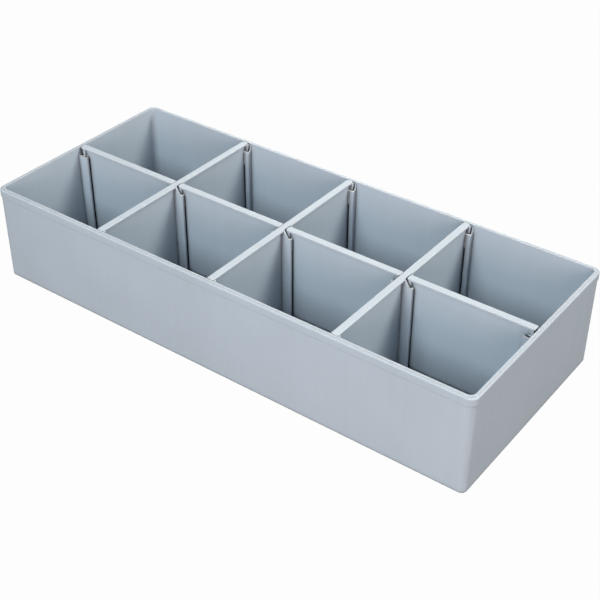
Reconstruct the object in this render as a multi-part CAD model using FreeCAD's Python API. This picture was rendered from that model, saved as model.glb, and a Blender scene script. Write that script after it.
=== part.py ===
"""Drawer organizer insert: a moulded open tray with seven lift-out dividers.

Three cross dividers stand across the tray and four lengthwise dividers stand
between them, so the tray is split into eight compartments.  Every divider
slides straight up out of vertical channel rails.

Frame: millimetres, X along the long side, Y along the short side, Z up.
The origin is the centre of the underside of the tray.
"""

import FreeCAD, Part
import math
import os

# Tray
TRAY_LENGTH = 400.0
TRAY_WIDTH = 169.0
TRAY_HEIGHT = 75.0
FLOOR_THICKNESS = 2.2
SHORT_RIM_WIDTH = 3.3          # rim of the two short walls, seen from above
LONG_RIM_WIDTH = 3.6           # rim of the two long walls
RIM_OVERHANG = 0.6             # how far the rim band stands out from the wall
RIM_BAND_HEIGHT = 6.5
RIM_BAND_CHAMFER = 0.5
OUTER_DRAFT = 0.2              # inward lean of the outside, from top to bottom
INNER_DRAFT = 0.5              # inward lean of the inside, from rim to floor
OUTER_CORNER_RADIUS = 6.3
BOTTOM_CORNER_RADIUS = 4.2      # outer corners tighten towards the bottom
INNER_CORNER_RADIUS = 4.0
RIM_RIDGE_WIDTH = 1.6          # raised inner part of the rim
RIM_RIDGE_RISE = 0.35          # above the outer part
RIM_RIDGE_RADIUS = 0.2
RIM_EDGE_RADIUS = 0.9
BOTTOM_EDGE_RADIUS = 1.0
FLOOR_FILLET_RADIUS = 1.2

# Dividers
PANEL_THICKNESS = 2.0
FLANGE_WIDTH = 5.3
FLANGE_THICKNESS = 1.4
FLANGE_EDGE_RADIUS = 0.3
FLOOR_CLEARANCE = 0.2
OVERLAP = 0.5                  # how far joined pieces reach into each other
END_BAR_CLEARANCE = 1.8        # end bars stop this far above the floor
CROSS_PITCH = 99.3

# Cross dividers, and the rails on the long walls that hold them
CROSS_FLANGE_GAP = 0.3         # flange end to rim
CROSS_FLANGE_CORNER = 1.5
CROSS_BAR_REACH = 80.15        # outer face of the end bar, from the centre
CROSS_BAR_THICKNESS = 2.0
CROSS_BAR_WIDTH = 6.8
CROSS_RAIL_DEPTH = 4.45
CROSS_RAIL_LIP = 1.4
CROSS_RAIL_SLOT = 4.4
CROSS_RAIL_CHANNEL = 8.5
CROSS_RAIL_WIDTH = 10.8
CROSS_NOTCH_DEPTH = 0.55        # cut into the flange edge above each rail
CROSS_TAB_WIDTH = 4.0
CROSS_TAB_HEIGHT = 11.0

# Lengthwise dividers, and the rails on short walls and cross dividers
LENGTHWISE_LEFT_CORNER = 1.5   # plan corners of the flange at its left end
LENGTHWISE_RIGHT_CORNER = 1.2  # and at its right end
LEFT_BAR_INSET = 1.5           # left end bar, back from the end of the flange
RIGHT_BAR_INSET = 0.7          # and right end bar
FIRST_BAY_BAR_INSET = 2.6      # left end bar next to the rim in the first bay
LENGTHWISE_BAR_THICKNESS = 2.0
LENGTHWISE_BAR_WIDTH = 6.6
LENGTHWISE_NECK_WIDTH = 5.2    # end bar above the rails
LENGTHWISE_LEFT_GAP = 0.6      # flange end to the notched flange on its left
LENGTHWISE_RIGHT_GAP = 0.25    # flange end to the flange on its right
FIRST_BAY_RIM_GAP = 0.4        # flange end to the rim in the first bay
LAST_BAY_RIM_GAP = 1.2         # flange end to the rim in the last bay
LENGTHWISE_RAIL_DEPTH = 8.6    # lip face, from a cross divider's mid plane
LENGTHWISE_WALL_RAIL_DEPTH = 8.5
LENGTHWISE_RAIL_LIP = 1.4
LENGTHWISE_RAIL_SLOT = 5.7
LENGTHWISE_RAIL_CHANNEL = 7.0
LENGTHWISE_RAIL_WIDTH = 9.2
LENGTHWISE_TAB_WIDTH = 3.8
LENGTHWISE_TAB_HEIGHT = 9.0
LENGTHWISE_TAB_LENGTH = 1.6    # from the end bar, just past the lip of the rail

# Rail tops, below the top of the rim
RAIL_DROP = 6.6
CROSS_HOOK_DROP = 5.6          # rails on cross dividers, at the lip
CROSS_HOOK_LEVEL = 2.0         # length of the level part of that top
CROSS_HOOK_ROOT_DROP = 0.4     # where the sloping part meets the flange
RAIL_CORNER_RADIUS = 0.8
RAIL_ROOT = 1.5                # how far a rail is sunk into its wall
RAIL_FLARE_RISE = 5.0          # long-wall rails climb the wall this far above their top
RAIL_FLARE_REACH = 2.0         # and start climbing this far from it
RAIL_FLARE_SAG = 0.4           # rise of the sweep at that point

CROSS_POSITIONS = (-CROSS_PITCH, 0.0, CROSS_PITCH)
INNER_HALF_LENGTH = TRAY_LENGTH / 2 - SHORT_RIM_WIDTH
INNER_HALF_WIDTH = TRAY_WIDTH / 2 - LONG_RIM_WIDTH
DIVIDER_BOTTOM = FLOOR_THICKNESS + FLOOR_CLEARANCE
END_BAR_BOTTOM = FLOOR_THICKNESS + END_BAR_CLEARANCE
FLANGE_BOTTOM = TRAY_HEIGHT - FLANGE_THICKNESS
LEDGE_TOP = TRAY_HEIGHT - RIM_RIDGE_RISE
RAIL_TOP = TRAY_HEIGHT - RAIL_DROP
CROSS_HOOK_TOP = TRAY_HEIGHT - CROSS_HOOK_DROP
CROSS_HOOK_ROOT_TOP = TRAY_HEIGHT - CROSS_HOOK_ROOT_DROP
Z_AXIS = FreeCAD.Vector(0, 0, 1)


def box(x_min, x_max, y_min, y_max, z_min, z_max):
    """Box between two opposite corners."""
    corner = FreeCAD.Vector(x_min, y_min, z_min)
    return Part.makeBox(x_max - x_min, y_max - y_min, z_max - z_min, corner)


def rounded_rectangle(length, width, left_radius, right_radius, z):
    """Closed outline of a rectangle centred on the Z axis, with rounded corners."""
    corners = (
        (1, 1, right_radius),
        (-1, 1, left_radius),
        (-1, -1, left_radius),
        (1, -1, right_radius),
    )
    edges = []
    last_end = None
    for quarter, (side_x, side_y, radius) in enumerate(corners):
        x = side_x * (length / 2 - radius)
        y = side_y * (width / 2 - radius)
        circle = Part.Circle(FreeCAD.Vector(x, y, z), Z_AXIS, radius)
        start_angle = quarter * math.pi / 2
        arc = Part.Arc(circle, start_angle, start_angle + math.pi / 2)
        if last_end is not None:
            edges.append(Part.LineSegment(last_end, arc.StartPoint).toShape())
        edges.append(arc.toShape())
        last_end = arc.EndPoint
    first_start = edges[0].valueAt(edges[0].FirstParameter)
    edges.append(Part.LineSegment(last_end, first_start).toShape())
    return Part.Wire(edges)


def tapered_block(bottom, top, z_min, z_max):
    """Solid between two rounded rectangles, each given as (length, width, corner radius)."""
    lower = rounded_rectangle(bottom[0], bottom[1], bottom[2], bottom[2], z_min)
    upper = rounded_rectangle(top[0], top[1], top[2], top[2], z_max)
    return Part.makeLoft([lower, upper], True, True)


def fillet_level_edges(solid, radius, z):
    """Round every edge that lies flat at height z."""
    level = [
        e for e in solid.Edges
        if abs(e.BoundBox.ZMin - z) < 0.01 and abs(e.BoundBox.ZMax - z) < 0.01
    ]
    return solid.makeFillet(radius, level)


def prism(points, z_min, z_max):
    """Vertical prism over a polygon given as (x, y) points."""
    corners = [FreeCAD.Vector(x, y, z_min) for x, y in points]
    face = Part.Face(Part.makePolygon(corners + corners[:1]))
    return face.extrude(FreeCAD.Vector(0, 0, z_max - z_min))


def side_prism(points, half_width):
    """Prism along X over a polygon given as (y, z) points."""
    corners = [FreeCAD.Vector(-half_width, y, z) for y, z in points]
    face = Part.Face(Part.makePolygon(corners + corners[:1]))
    return face.extrude(FreeCAD.Vector(2 * half_width, 0, 0))


def rail_hook(slot, channel, width, depth, lip, root, silhouette):
    """One hook of a channel rail, on the +X side, standing out along +Y.

    The plan outline is an L: a side wall that leaves the mother wall at y = 0
    and a lip that turns back towards the slot.  The silhouette, in (y, z),
    shapes its top.
    """
    outline = [
        (channel / 2, -root),
        (width / 2, -root),
        (width / 2, depth),
        (slot / 2, depth),
        (slot / 2, depth - lip),
        (channel / 2, depth - lip),
    ]
    hook = prism(outline, DIVIDER_BOTTOM, TRAY_HEIGHT)
    outer_corner = [
        e for e in hook.Edges
        if abs(e.BoundBox.XMin - width / 2) < 0.01 and abs(e.BoundBox.YMin - depth) < 0.01
        and e.BoundBox.ZLength > 1.0
    ]
    hook = hook.makeFillet(RAIL_CORNER_RADIUS, outer_corner)
    return hook.common(side_prism(silhouette, width))


def channel_rail(slot, channel, width, depth, lip, root, silhouette):
    """Both hooks of a rail, mirrored about the slot."""
    hook = rail_hook(slot, channel, width, depth, lip, root, silhouette)
    twin = hook.mirror(FreeCAD.Vector(0, 0, 0), FreeCAD.Vector(1, 0, 0))
    return [hook, twin]


def placed(shapes, angle, x, y):
    """Copies of the shapes turned about Z and moved to (x, y)."""
    result = []
    for shape in shapes:
        copy = shape.copy()
        copy.rotate(FreeCAD.Vector(0, 0, 0), Z_AXIS, angle)
        copy.translate(FreeCAD.Vector(x, y, 0))
        result.append(copy)
    return result


def level_silhouette(depth):
    """Side view of a rail whose top is level."""
    return [
        (-RAIL_ROOT, DIVIDER_BOTTOM),
        (depth, DIVIDER_BOTTOM),
        (depth, RAIL_TOP),
        (-RAIL_ROOT, RAIL_TOP),
    ]


def flared_silhouette(depth):
    """Side view of a rail whose top sweeps up where it meets the wall."""
    flare_top = RAIL_TOP + RAIL_FLARE_RISE
    return [
        (-RAIL_ROOT, DIVIDER_BOTTOM),
        (depth, DIVIDER_BOTTOM),
        (depth, RAIL_TOP),
        (RAIL_FLARE_REACH, RAIL_TOP + RAIL_FLARE_SAG),
        (RAIL_FLARE_REACH / 2, RAIL_TOP + RAIL_FLARE_RISE / 3),
        (RAIL_FLARE_REACH / 4, flare_top),
        (-RAIL_ROOT, flare_top),
    ]


def tray_shell():
    """Drafted open box with a rim band outside its top and a low ridge on the rim."""
    length = TRAY_LENGTH - 2 * RIM_OVERHANG
    width = TRAY_WIDTH - 2 * RIM_OVERHANG
    body_bottom = (length - 2 * OUTER_DRAFT, width - 2 * OUTER_DRAFT, BOTTOM_CORNER_RADIUS)
    body_top = (length, width, OUTER_CORNER_RADIUS - RIM_OVERHANG)
    body = tapered_block(body_bottom, body_top, 0, LEDGE_TOP)
    body = fillet_level_edges(body, BOTTOM_EDGE_RADIUS, 0)

    band_bottom = TRAY_HEIGHT - RIM_BAND_HEIGHT
    band_wire = rounded_rectangle(
        TRAY_LENGTH, TRAY_WIDTH, OUTER_CORNER_RADIUS, OUTER_CORNER_RADIUS, band_bottom
    )
    band = Part.Face(band_wire).extrude(FreeCAD.Vector(0, 0, LEDGE_TOP - band_bottom))
    lower_edges = [e for e in band.Edges if e.BoundBox.ZMax < band_bottom + 0.01]
    band = band.makeChamfer(RIM_BAND_CHAMFER, lower_edges)
    block = fillet_level_edges(body.fuse(band).removeSplitter(), RIM_EDGE_RADIUS, LEDGE_TOP)

    length = 2 * INNER_HALF_LENGTH
    width = 2 * INNER_HALF_WIDTH
    ridge_radius = INNER_CORNER_RADIUS + RIM_RIDGE_WIDTH
    ridge_wire = rounded_rectangle(
        length + 2 * RIM_RIDGE_WIDTH, width + 2 * RIM_RIDGE_WIDTH,
        ridge_radius, ridge_radius, band_bottom
    )
    ridge = Part.Face(ridge_wire).extrude(FreeCAD.Vector(0, 0, RIM_BAND_HEIGHT))

    cavity_bottom = (length - 2 * INNER_DRAFT, width - 2 * INNER_DRAFT, INNER_CORNER_RADIUS)
    cavity_top = (length, width, INNER_CORNER_RADIUS)
    cavity = tapered_block(cavity_bottom, cavity_top, FLOOR_THICKNESS, TRAY_HEIGHT)
    cavity = fillet_level_edges(cavity, FLOOR_FILLET_RADIUS, FLOOR_THICKNESS)

    shell = block.fuse(ridge).cut(cavity).removeSplitter()
    return fillet_level_edges(shell, RIM_RIDGE_RADIUS, TRAY_HEIGHT)


def tray():
    """Tray with six rails on the long walls and two on the short walls."""
    cross_rail = channel_rail(
        CROSS_RAIL_SLOT, CROSS_RAIL_CHANNEL, CROSS_RAIL_WIDTH, CROSS_RAIL_DEPTH, CROSS_RAIL_LIP,
        RAIL_ROOT, flared_silhouette(CROSS_RAIL_DEPTH)
    )
    end_rail = channel_rail(
        LENGTHWISE_RAIL_SLOT, LENGTHWISE_RAIL_CHANNEL, LENGTHWISE_RAIL_WIDTH,
        LENGTHWISE_WALL_RAIL_DEPTH, LENGTHWISE_RAIL_LIP, RAIL_ROOT,
        level_silhouette(LENGTHWISE_WALL_RAIL_DEPTH)
    )
    hooks = []
    for x in CROSS_POSITIONS:
        hooks += placed(cross_rail, 0, x, -INNER_HALF_WIDTH)
        hooks += placed(cross_rail, 180, x, INNER_HALF_WIDTH)
    hooks += placed(end_rail, -90, -INNER_HALF_LENGTH, 0)
    hooks += placed(end_rail, 90, INNER_HALF_LENGTH, 0)
    return tray_shell().fuse(lowered_to_floor(hooks))


def lowered_to_floor(hooks):
    """The same hooks, lengthened down into the tray floor."""
    result = []
    for hook in hooks:
        foot = hook.copy()
        foot.translate(FreeCAD.Vector(0, 0, FLOOR_THICKNESS / 2 - DIVIDER_BOTTOM))
        result.append(hook.fuse(foot).removeSplitter())
    return result


def flange(x_ends, left_radius, right_radius):
    """Flat top strip along X with rounded plan corners and softened top edges."""
    length = x_ends[1] - x_ends[0]
    wire = rounded_rectangle(length, FLANGE_WIDTH, left_radius, right_radius, FLANGE_BOTTOM)
    strip = Part.Face(wire).extrude(FreeCAD.Vector(0, 0, FLANGE_THICKNESS))
    strip = fillet_level_edges(strip, FLANGE_EDGE_RADIUS, TRAY_HEIGHT)
    strip.translate(FreeCAD.Vector((x_ends[0] + x_ends[1]) / 2, 0, 0))
    return strip


def end_pieces(x_outer, inward, bar_thickness, bar_width, neck_width, tab_size):
    """End bar, its narrower neck and the grip tabs at one end of a divider.

    x_outer is the outer face of the bar and inward is +1 or -1, the way from
    there to the middle of the divider.  tab_size is (length, width, height).
    """
    x_shoulder = x_outer + inward * bar_thickness
    x_low, x_high = sorted((x_outer, x_shoulder))
    bar = box(x_low, x_high, -bar_width / 2, bar_width / 2, END_BAR_BOTTOM, RAIL_TOP)
    neck_top = FLANGE_BOTTOM + OVERLAP
    neck = box(x_low, x_high, -neck_width / 2, neck_width / 2, RAIL_TOP - OVERLAP, neck_top)
    tab_length, tab_width, tab_height = tab_size
    x_low, x_high = sorted((x_shoulder - inward * OVERLAP, x_shoulder + inward * tab_length))
    tabs = box(x_low, x_high, -tab_width / 2, tab_width / 2, RAIL_TOP - tab_height, RAIL_TOP)
    return [bar, neck, tabs]


def divider(top, bar_ends, bar_thickness, bar_width, neck_width, tab_size):
    """Divider along X: panel, top flange, and an end bar with grip tabs at each end."""
    panel = box(
        bar_ends[0] + OVERLAP, bar_ends[1] - OVERLAP,
        -PANEL_THICKNESS / 2, PANEL_THICKNESS / 2, DIVIDER_BOTTOM, FLANGE_BOTTOM + OVERLAP
    )
    pieces = [top]
    pieces += end_pieces(bar_ends[0], 1, bar_thickness, bar_width, neck_width, tab_size)
    pieces += end_pieces(bar_ends[1], -1, bar_thickness, bar_width, neck_width, tab_size)
    return panel.fuse(pieces).removeSplitter()


def cross_divider():
    """Cross divider on the Y axis, with a rail on each face for the lengthwise ones."""
    flange_end = INNER_HALF_WIDTH - CROSS_FLANGE_GAP
    top = flange((-flange_end, flange_end), CROSS_FLANGE_CORNER, CROSS_FLANGE_CORNER)
    notch_wall = FLANGE_WIDTH / 2 - CROSS_NOTCH_DEPTH
    notch = box(
        -LENGTHWISE_RAIL_WIDTH / 2, LENGTHWISE_RAIL_WIDTH / 2,
        -FLANGE_WIDTH, -notch_wall, FLANGE_BOTTOM - OVERLAP, TRAY_HEIGHT + OVERLAP
    )
    top = top.cut(notch)
    shoulder = CROSS_BAR_REACH - CROSS_BAR_THICKNESS
    rail_lip_face = INNER_HALF_WIDTH - CROSS_RAIL_DEPTH
    body = divider(
        top, (-CROSS_BAR_REACH, CROSS_BAR_REACH),
        CROSS_BAR_THICKNESS, CROSS_BAR_WIDTH, CROSS_BAR_WIDTH,
        (shoulder - rail_lip_face, CROSS_TAB_WIDTH, CROSS_TAB_HEIGHT)
    )
    body.rotate(FreeCAD.Vector(0, 0, 0), Z_AXIS, 90)
    silhouette = [
        (0, DIVIDER_BOTTOM),
        (LENGTHWISE_RAIL_DEPTH, DIVIDER_BOTTOM),
        (LENGTHWISE_RAIL_DEPTH, CROSS_HOOK_TOP),
        (LENGTHWISE_RAIL_DEPTH - CROSS_HOOK_LEVEL, CROSS_HOOK_TOP),
        (FLANGE_WIDTH / 2, CROSS_HOOK_ROOT_TOP),
        (0, CROSS_HOOK_ROOT_TOP),
    ]
    rail = channel_rail(
        LENGTHWISE_RAIL_SLOT, LENGTHWISE_RAIL_CHANNEL, LENGTHWISE_RAIL_WIDTH,
        LENGTHWISE_RAIL_DEPTH, LENGTHWISE_RAIL_LIP, 0, silhouette
    )
    hooks = placed(rail, -90, 0, 0) + placed(rail, 90, 0, 0)
    return body.fuse(hooks).removeSplitter()


def lengthwise_divider(flange_ends, bar_ends):
    """Lengthwise divider between the given X positions of flange and bar ends."""
    top = flange(flange_ends, LENGTHWISE_LEFT_CORNER, LENGTHWISE_RIGHT_CORNER)
    return divider(
        top, bar_ends, LENGTHWISE_BAR_THICKNESS, LENGTHWISE_BAR_WIDTH, LENGTHWISE_NECK_WIDTH,
        (LENGTHWISE_TAB_LENGTH, LENGTHWISE_TAB_WIDTH, LENGTHWISE_TAB_HEIGHT)
    )


def lengthwise_dividers():
    """The four lengthwise dividers, from the first bay to the last."""
    flange_edge = FLANGE_WIDTH / 2
    notch_wall = flange_edge - CROSS_NOTCH_DEPTH
    lefts = [x + notch_wall + LENGTHWISE_LEFT_GAP for x in CROSS_POSITIONS]
    rights = [x - flange_edge - LENGTHWISE_RIGHT_GAP for x in CROSS_POSITIONS]
    lefts = [-INNER_HALF_LENGTH + FIRST_BAY_RIM_GAP] + lefts
    rights = rights + [INNER_HALF_LENGTH - LAST_BAY_RIM_GAP]
    left_insets = [FIRST_BAY_BAR_INSET] + 3 * [LEFT_BAR_INSET]
    shapes = []
    for left, right, left_inset in zip(lefts, rights, left_insets):
        bar_ends = (left + left_inset, right - RIGHT_BAR_INSET)
        shapes.append(lengthwise_divider((left, right), bar_ends))
    return shapes


def export(shape, node):
    """Write one sub-part as a STEP file."""
    shape.exportStep("parts/" + node + ".step")


def build():
    """Make and export every sub-part in its resting place."""
    os.makedirs("parts", exist_ok=True)
    export(tray(), "tray")
    for number, x in enumerate(CROSS_POSITIONS, start=1):
        shape = cross_divider()
        shape.translate(FreeCAD.Vector(x, 0, 0))
        export(shape, "cross_divider_%d" % number)
    for number, shape in enumerate(lengthwise_dividers(), start=1):
        export(shape, "lengthwise_divider_%d" % number)


build()
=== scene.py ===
"""Drawer organizer insert in a white studio.

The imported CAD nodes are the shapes.  This script gives them their moulded
plastic, and adds the floor, the light and the camera.  Units are metres.
"""

import math

import bpy
from mathutils import Matrix, Vector


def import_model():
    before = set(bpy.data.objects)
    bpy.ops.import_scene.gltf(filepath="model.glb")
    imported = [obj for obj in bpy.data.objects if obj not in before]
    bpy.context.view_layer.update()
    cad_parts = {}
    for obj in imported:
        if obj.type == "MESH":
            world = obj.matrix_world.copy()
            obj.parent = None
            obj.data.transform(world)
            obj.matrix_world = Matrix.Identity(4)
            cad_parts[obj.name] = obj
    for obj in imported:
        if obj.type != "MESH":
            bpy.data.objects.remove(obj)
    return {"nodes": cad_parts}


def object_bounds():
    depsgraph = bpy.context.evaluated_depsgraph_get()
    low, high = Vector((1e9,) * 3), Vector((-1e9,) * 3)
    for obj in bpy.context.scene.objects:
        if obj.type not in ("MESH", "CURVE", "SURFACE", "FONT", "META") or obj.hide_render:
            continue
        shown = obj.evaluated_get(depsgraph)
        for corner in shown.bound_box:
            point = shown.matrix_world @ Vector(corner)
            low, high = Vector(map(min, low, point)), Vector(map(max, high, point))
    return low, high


# Viewpoint: angles in degrees, and the point on the rim plane that the lens looks at
VIEW_AZIMUTH = 36.489
VIEW_ELEVATION = 35.500
VIEW_ROLL = 0.279
VIEW_DISTANCE = 0.7639
AIM_FROM_RIM_CENTRE = (0.0610, -0.0641)
LENS_MM = 72.12
SENSOR_MM = 36.0
CLIP_START = 0.01

# Plastic colours, linear; the paler second colours are painted highlights on edges, rail tops
# and level faces
TRAY_COLOUR = (0.40, 0.45, 0.51)
DIVIDER_COLOUR = (0.39, 0.44, 0.50)
TRAY_HIGHLIGHT_COLOUR = (0.60, 0.57, 0.57)
DIVIDER_HIGHLIGHT_COLOUR = (0.84, 0.82, 0.80)

# Plastic texture: sizes in metres, spreads either side of one
CLOUD_SIZE = 0.07
CLOUD_SPREAD = 0.03
GRAIN_SIZE = 0.0007
GRAIN_SPREAD = 0.02
GRAIN_DEPTH = 0.00005
GRAIN_BUMP = 0.15
DRAW_MARK_SIZE = 0.006
DRAW_MARK_STRETCH = 50.0
DRAW_MARK_SPREAD = 0.012
NOISE_DETAIL = 2.0
NOISE_RANGE = (0.3, 0.7)          # where most of a noise's values lie
ROUGHNESS = 0.42
ROUGHNESS_SPREAD = 0.1
SHEEN = 0.45

# Painted shade in creases and painted highlights on edges, rail tops and level faces: a pair
# runs from no effect to full effect
EDGE_RADIUS = 0.0005
EDGE_COSINE = (1.0, 0.85)         # between the surface normal and the softened one
EDGE_OPENNESS = (0.3, 0.6)        # edges in a crease get no painted highlight
EDGE_HIGHLIGHT = 1.0
LEVEL_HEIGHT = (0.5, 0.6)         # share of the object's height
LEVEL_NORMAL = (0.5, 0.95)        # vertical part of the surface normal
LEVEL_HIGHLIGHT = 0.2
RAIL_TOP_DEPTH = (0.0015, 0.003)  # below the rim
RAIL_TOP_HIGHLIGHT = 1.0
# Painted shade: darker within this reach of nearby surfaces
CREASE_REACH = 0.004
CREASE_OPENNESS = (0.8, 0.25)
CREASE_SHADE = 0.05
RAYS = 4                          # per sample, for edges and creases

# Lights: name, azimuth and elevation as seen from the object, distance, size, colour, watts
LIGHTS = (
    ("front", 0.0, 38.0, 2.0, 0.7, (0.88, 0.98, 1.0), 32.0),
    ("right_back", 120.0, 44.0, 2.0, 0.8, (0.97, 1.0, 0.95), 36.0),
    ("low_fill", 32.0, 8.0, 2.0, 1.0, (1.0, 0.83, 0.76), 25.5),
    ("left_back", -150.0, 8.0, 2.0, 1.0, (1.0, 1.0, 1.0), 24.0),
)
WORLD_LIGHT = (0.15, 0.15, 0.16)
FLOOR_SIZE = 8.0
FLOOR_COLOUR = (0.1, 0.1, 0.1)
FLOOR_GLOW = 0.98                 # share of white in what the camera sees of the floor


class Shader:
    """Node tree of a material or world, with short calls that add and join nodes."""

    def __init__(self, owner):
        owner.use_nodes = True
        self.tree = owner.node_tree
        self.tree.nodes.clear()

    def add(self, kind, **values):
        """New node, each value set as its property or else as its input."""
        node = self.tree.nodes.new(kind)
        for key, value in values.items():
            if hasattr(node, key):
                setattr(node, key, value)
            else:
                node.inputs[key.replace("_", " ")].default_value = value
        return node

    def link(self, source, target):
        """Join an output to an input."""
        self.tree.links.new(source, target)

    def noise(self, size, stretch=1.0):
        """Noise of a feature size, drawn out vertically by the stretch."""
        coordinates = self.add("ShaderNodeTexCoord")
        mapping = self.add("ShaderNodeMapping", Scale=(1.0, 1.0, 1.0 / stretch))
        pattern = self.add("ShaderNodeTexNoise", Scale=1.0 / size, Detail=NOISE_DETAIL)
        self.link(coordinates.outputs["Object"], mapping.inputs["Vector"])
        self.link(mapping.outputs["Vector"], pattern.inputs["Vector"])
        return pattern.outputs["Fac"]

    def height_of(self, vector):
        """Vertical part of the Object place or of the Normal."""
        coordinates = self.add("ShaderNodeTexCoord")
        parts = self.add("ShaderNodeSeparateXYZ")
        self.link(coordinates.outputs[vector], parts.inputs[0])
        return parts.outputs["Z"]

    def remap(self, value, old, new):
        """The value's old range made into the new range."""
        ramp = self.add(
            "ShaderNodeMapRange",
            From_Min=old[0],
            From_Max=old[1],
            To_Min=new[0],
            To_Max=new[1],
        )
        self.link(value, ramp.inputs["Value"])
        return ramp.outputs["Result"]

    def vary(self, pattern, spread, middle=1.0):
        """Noise made into values around the middle."""
        low = middle * (1.0 - spread)
        high = middle * (1.0 + spread)
        return self.remap(pattern, NOISE_RANGE, (low, high))

    def combine(self, operation, *values):
        """The values multiplied together, or the largest of them."""
        result = values[0]
        for value in values[1:]:
            node = self.add("ShaderNodeMath", operation=operation)
            self.link(result, node.inputs[0])
            self.link(value, node.inputs[1])
            result = node.outputs[0]
        return result

    def split_by_camera(self, unseen, seen, share=1.0):
        """The seen shader, by that share, for the camera, and the unseen one otherwise."""
        path = self.add("ShaderNodeLightPath")
        amount = self.add("ShaderNodeMath", operation="MULTIPLY")
        amount.inputs[1].default_value = share
        blend = self.add("ShaderNodeMixShader")
        self.link(path.outputs["Is Camera Ray"], amount.inputs[0])
        self.link(amount.outputs[0], blend.inputs[0])
        self.link(unseen.outputs[0], blend.inputs[1])
        self.link(seen.outputs[0], blend.inputs[2])
        return blend


def level_faces(shader, top):
    """One on faces that look up from the upper part of the object, else zero."""
    heights = [share * top for share in LEVEL_HEIGHT]
    high = shader.remap(shader.height_of("Object"), heights, (0.0, 1.0))
    level = shader.remap(shader.height_of("Normal"), LEVEL_NORMAL, (0.0, 1.0))
    return shader.combine("MULTIPLY", high, level)


def painted_highlight(shader, softened, openness, level, top):
    """Painted highlight, full on edges and on the tops of rails, and slight on other level
    faces.
    """
    geometry = shader.add("ShaderNodeNewGeometry")
    cosine = shader.add("ShaderNodeVectorMath", operation="DOT_PRODUCT")
    shader.link(softened, cosine.inputs[0])
    shader.link(geometry.outputs["Normal"], cosine.inputs[1])
    bent = shader.remap(cosine.outputs["Value"], EDGE_COSINE, (0.0, EDGE_HIGHLIGHT))
    outside_creases = shader.remap(openness, EDGE_OPENNESS, (0.0, 1.0))
    edges = shader.combine("MULTIPLY", bent, outside_creases)

    heights = [top - depth for depth in RAIL_TOP_DEPTH]
    sunk = shader.remap(shader.height_of("Object"), heights, (0.0, RAIL_TOP_HIGHLIGHT))
    rails = shader.combine("MULTIPLY", sunk, level)
    flats = shader.remap(level, (0.0, 1.0), (0.0, LEVEL_HIGHLIGHT))
    return shader.combine("MAXIMUM", flats, rails, edges)


def shade(shader, grain, openness, level):
    """Brightness of the colour: clouding, grain, draw marks, and painted shade in creases."""
    clouds = shader.vary(shader.noise(CLOUD_SIZE), CLOUD_SPREAD)
    grains = shader.vary(grain, GRAIN_SPREAD)
    draw_marks = shader.vary(shader.noise(DRAW_MARK_SIZE, DRAW_MARK_STRETCH), DRAW_MARK_SPREAD)
    # Painted shade: darker where ambient occlusion finds near surfaces, except on level faces
    creases = shader.remap(openness, CREASE_OPENNESS, (1.0, CREASE_SHADE))
    creases = shader.combine("MAXIMUM", creases, level)
    return shader.combine("MULTIPLY", clouds, grains, draw_marks, creases)


def plastic(name, colour, highlight_colour, top):
    """Satin moulded plastic, paler with painted highlights on edges and level faces, and darker
    with painted shade in creases.
    """
    material = bpy.data.materials.new(name)
    shader = Shader(material)
    softened = shader.add("ShaderNodeBevel", Radius=EDGE_RADIUS, samples=RAYS).outputs["Normal"]
    creases = shader.add("ShaderNodeAmbientOcclusion", Distance=CREASE_REACH, samples=RAYS)
    openness = creases.outputs["AO"]
    level = level_faces(shader, top)
    grain = shader.noise(GRAIN_SIZE)

    # Painted highlight: the plastic colour blended towards the paler highlight colour
    colour_to_highlight = shader.add("ShaderNodeValToRGB")
    colour_to_highlight.color_ramp.elements[0].color = (*colour, 1.0)
    colour_to_highlight.color_ramp.elements[1].color = (*highlight_colour, 1.0)
    shader.link(painted_highlight(shader, softened, openness, level, top), colour_to_highlight.inputs["Fac"])
    shaded = shader.add("ShaderNodeVectorMath", operation="SCALE")
    shader.link(colour_to_highlight.outputs["Color"], shaded.inputs[0])
    shader.link(shade(shader, grain, openness, level), shaded.inputs["Scale"])

    bump = shader.add("ShaderNodeBump", Strength=GRAIN_BUMP, Distance=GRAIN_DEPTH)
    shader.link(grain, bump.inputs["Height"])
    shader.link(softened, bump.inputs["Normal"])

    surface = shader.add("ShaderNodeBsdfPrincipled", Specular_IOR_Level=SHEEN)
    shader.link(shaded.outputs["Vector"], surface.inputs["Base Color"])
    shader.link(shader.vary(grain, ROUGHNESS_SPREAD, ROUGHNESS), surface.inputs["Roughness"])
    shader.link(bump.outputs["Normal"], surface.inputs["Normal"])
    output = shader.add("ShaderNodeOutputMaterial")
    shader.link(surface.outputs["BSDF"], output.inputs["Surface"])
    return material


def dress(nodes, top):
    """Give every CAD node its plastic."""
    # Both plastics carry painted highlights on edges and tops and painted shade in creases
    tray = plastic("tray_plastic_with_painted_light", TRAY_COLOUR, TRAY_HIGHLIGHT_COLOUR, top)
    divider = plastic("divider_plastic_with_painted_light", DIVIDER_COLOUR, DIVIDER_HIGHLIGHT_COLOUR, top)
    for name, node in nodes.items():
        node.data.materials.clear()
        node.data.materials.append(tray if name == "tray" else divider)


def floor():
    """Floor that lights the object little, and that the camera sees as white."""
    bpy.ops.mesh.primitive_plane_add(size=FLOOR_SIZE, location=(0, 0, 0))
    plane = bpy.context.object
    plane.name = "floor"
    material = bpy.data.materials.new("floor")
    shader = Shader(material)
    matt = shader.add("ShaderNodeBsdfDiffuse", Color=(*FLOOR_COLOUR, 1.0))
    white = shader.add("ShaderNodeEmission", Color=(1.0, 1.0, 1.0, 1.0), Strength=1.0)
    blend = shader.split_by_camera(matt, white, FLOOR_GLOW)
    output = shader.add("ShaderNodeOutputMaterial")
    shader.link(blend.outputs[0], output.inputs["Surface"])
    plane.data.materials.append(material)


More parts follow.
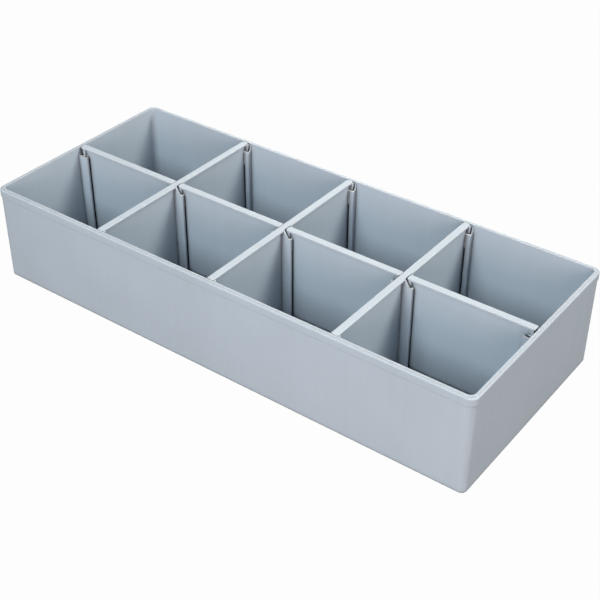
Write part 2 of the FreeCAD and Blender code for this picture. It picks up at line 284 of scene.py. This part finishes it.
def world():
    """Even light from all round, seen as white by the camera."""
    sky = bpy.data.worlds.new("studio")
    bpy.context.scene.world = sky
    shader = Shader(sky)
    fill = shader.add("ShaderNodeBackground", Color=(*WORLD_LIGHT, 1.0))
    white = shader.add("ShaderNodeBackground", Color=(1.0, 1.0, 1.0, 1.0))
    blend = shader.split_by_camera(fill, white)
    output = shader.add("ShaderNodeOutputWorld")
    shader.link(blend.outputs[0], output.inputs["Surface"])


def direction(azimuth, elevation):
    """Unit vector towards azimuth (0 is -Y, 90 is +X) and elevation, in degrees."""
    a = math.radians(azimuth)
    e = math.radians(elevation)
    return Vector((math.sin(a) * math.cos(e), -math.cos(a) * math.cos(e), math.sin(e)))


def soft_light(name, azimuth, elevation, distance, size, colour, watts, target):
    """Square area light that faces the target."""
    data = bpy.data.lights.new(name, "AREA")
    data.size = size
    data.color = colour
    data.energy = watts
    lamp = bpy.data.objects.new(name, data)
    bpy.context.scene.collection.objects.link(lamp)
    towards = direction(azimuth, elevation)
    lamp.location = target + distance * towards
    lamp.rotation_euler = towards.to_track_quat("Z", "Y").to_euler()


def camera(low, high):
    """Camera at the reference viewpoint."""
    aim = Vector(((low.x + high.x) / 2, (low.y + high.y) / 2, high.z))
    aim += Vector((*AIM_FROM_RIM_CENTRE, 0.0))
    back = direction(VIEW_AZIMUTH, VIEW_ELEVATION)
    data = bpy.data.cameras.new("camera")
    data.lens = LENS_MM
    data.sensor_width = SENSOR_MM
    data.clip_start = CLIP_START
    rig = bpy.data.objects.new("camera", data)
    bpy.context.scene.collection.objects.link(rig)
    turn = back.to_track_quat("Z", "Y").to_matrix().to_4x4()
    roll = Matrix.Rotation(math.radians(VIEW_ROLL), 4, "Z")
    rig.matrix_world = Matrix.Translation(aim + VIEW_DISTANCE * back) @ turn @ roll
    bpy.context.scene.camera = rig


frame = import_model()
cad_low, cad_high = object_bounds()
bpy.context.scene.view_settings.view_transform = "Standard"
dress(frame["nodes"], cad_high.z)
floor()
world()
for light in LIGHTS:
    soft_light(*light, target=(cad_low + cad_high) / 2)
camera(cad_low, cad_high)
